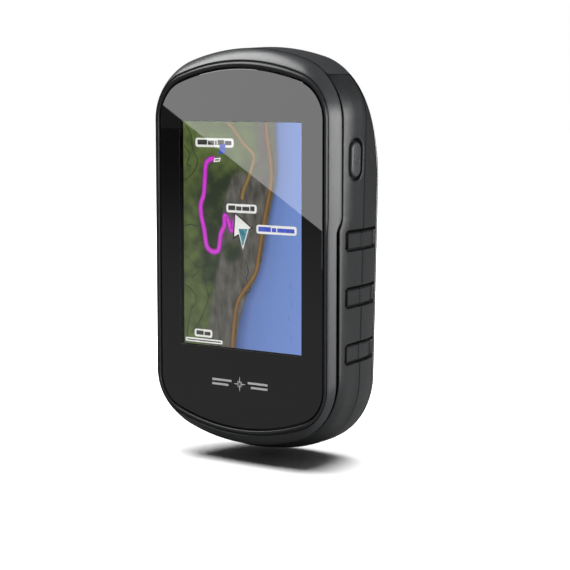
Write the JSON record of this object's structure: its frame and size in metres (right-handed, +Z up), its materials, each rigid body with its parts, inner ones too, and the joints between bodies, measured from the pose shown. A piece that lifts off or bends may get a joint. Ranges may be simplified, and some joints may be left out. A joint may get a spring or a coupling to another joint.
{
  "type": "handheld gps unit",
  "caption": "Rugged pocket satellite navigator with a glass touch screen, rubber side grip, side power key, sealed USB port and a lift-off battery door with a mounting rail and a latch ring.",
  "frame": {"origin": "middle of the base of the overall box", "axes": "+Z up the long side of the unit, the screen faces -Y, the power key is on the +X side"},
  "size_m": [0.0576, 0.033, 0.102],
  "materials": {
    "bezel_plastic": "satin moulded plastic, fine grain",
    "lens_glass": "hard glass with a black printed border",
    "tape": "black foam tape",
    "lcd": "colour liquid crystal panel",
    "light_guide": "clear moulded light guide",
    "sheet_steel": "thin rolled sheet",
    "ribbon": "amber flexible circuit",
    "circuit_board": "green solder resist",
    "chip_plastic": "matt moulding compound",
    "ceramic": "unglazed ceramic",
    "connector_plastic": "ivory nylon",
    "case_plastic": "fine textured moulded plastic",
    "grip_rubber": "grained soft rubber",
    "key_rubber": "smooth soft rubber",
    "seal_rubber": "silicone cord",
    "screw_steel": "plated steel",
    "latch_steel": "bead blasted stainless steel",
    "cell_sleeve": "printed sleeve on a steel can",
    "contact_plate": "nickel plated spring steel",
    "card_plastic": "black moulded card"
  },
  "bodies": {
    "case": {"front_bezel": "bezel_plastic", "touch_lens": "lens_glass", "lens_tape": "tape", "display_panel": "lcd", "backlight_unit": "light_guide", "display_frame": "sheet_steel", "display_ribbon": "ribbon", "display_connector": "connector_plastic", "touch_ribbon": "ribbon", "main_board": "circuit_board", "board_screw_1": "screw_steel", "board_screw_2": "screw_steel", "board_screw_3": "screw_steel", "board_screw_4": "screw_steel", "rf_shield": "sheet_steel", "processor_chip": "chip_plastic", "memory_chip": "chip_plastic", "compass_chip": "chip_plastic", "gps_antenna": "ceramic", "beeper": "chip_plastic", "card_socket": "sheet_steel", "memory_card": "card_plastic", "power_switch": "sheet_steel", "rear_case": "case_plastic", "case_seal": "seal_rubber", "door_seal": "seal_rubber", "side_grip": "grip_rubber", "case_screw_1": "screw_steel", "case_screw_2": "screw_steel", "usb_board": "circuit_board", "usb_port": "sheet_steel", "usb_ribbon": "ribbon", "battery_left": "cell_sleeve", "battery_right": "cell_sleeve", "bridge_contact": "contact_plate", "bridge_spring": "contact_plate", "positive_contact": "contact_plate", "negative_contact": "contact_plate", "negative_spring": "contact_plate"},
    "power_key": {"power_key": "key_rubber", "key_clip": "screw_steel", "switch_plunger": "chip_plastic"},
    "weather_cap": {"weather_cap": "key_rubber"},
    "battery_door": {"battery_door": "case_plastic"},
    "latch": {"latch_stud": "latch_steel", "latch_retainer": "latch_steel"},
    "latch_ring": {"latch_ring": "latch_steel"}
  },
  "joints": [
    {"name": "power_key_press", "type": "slide", "parent": "case", "child": "power_key", "axis": [-1, 0, 0], "range_m": [0, 0.0004], "stiffness_N_per_m": 4000},
    {"name": "weather_cap_open", "type": "hinge", "parent": "case", "child": "weather_cap", "pos_m": [0, 0.0063, 0.0922], "axis": [1, 0, 0], "range_deg": [0, 115]},
    {"name": "battery_door_lift", "type": "slide", "parent": "case", "child": "battery_door", "axis": [0, 1, 0], "range_m": [0, 0.035]},
    {"name": "latch_turn", "type": "hinge", "parent": "battery_door", "child": "latch", "pos_m": [0, 0.0112, 0.0082], "axis": [0, 1, 0], "range_deg": [0, 90]},
    {"name": "ring_fold", "type": "hinge", "parent": "latch", "child": "latch_ring", "pos_m": [0, 0.0112, 0.0082], "axis": [1, 0, 0], "range_deg": [0, 90]}
  ]
}
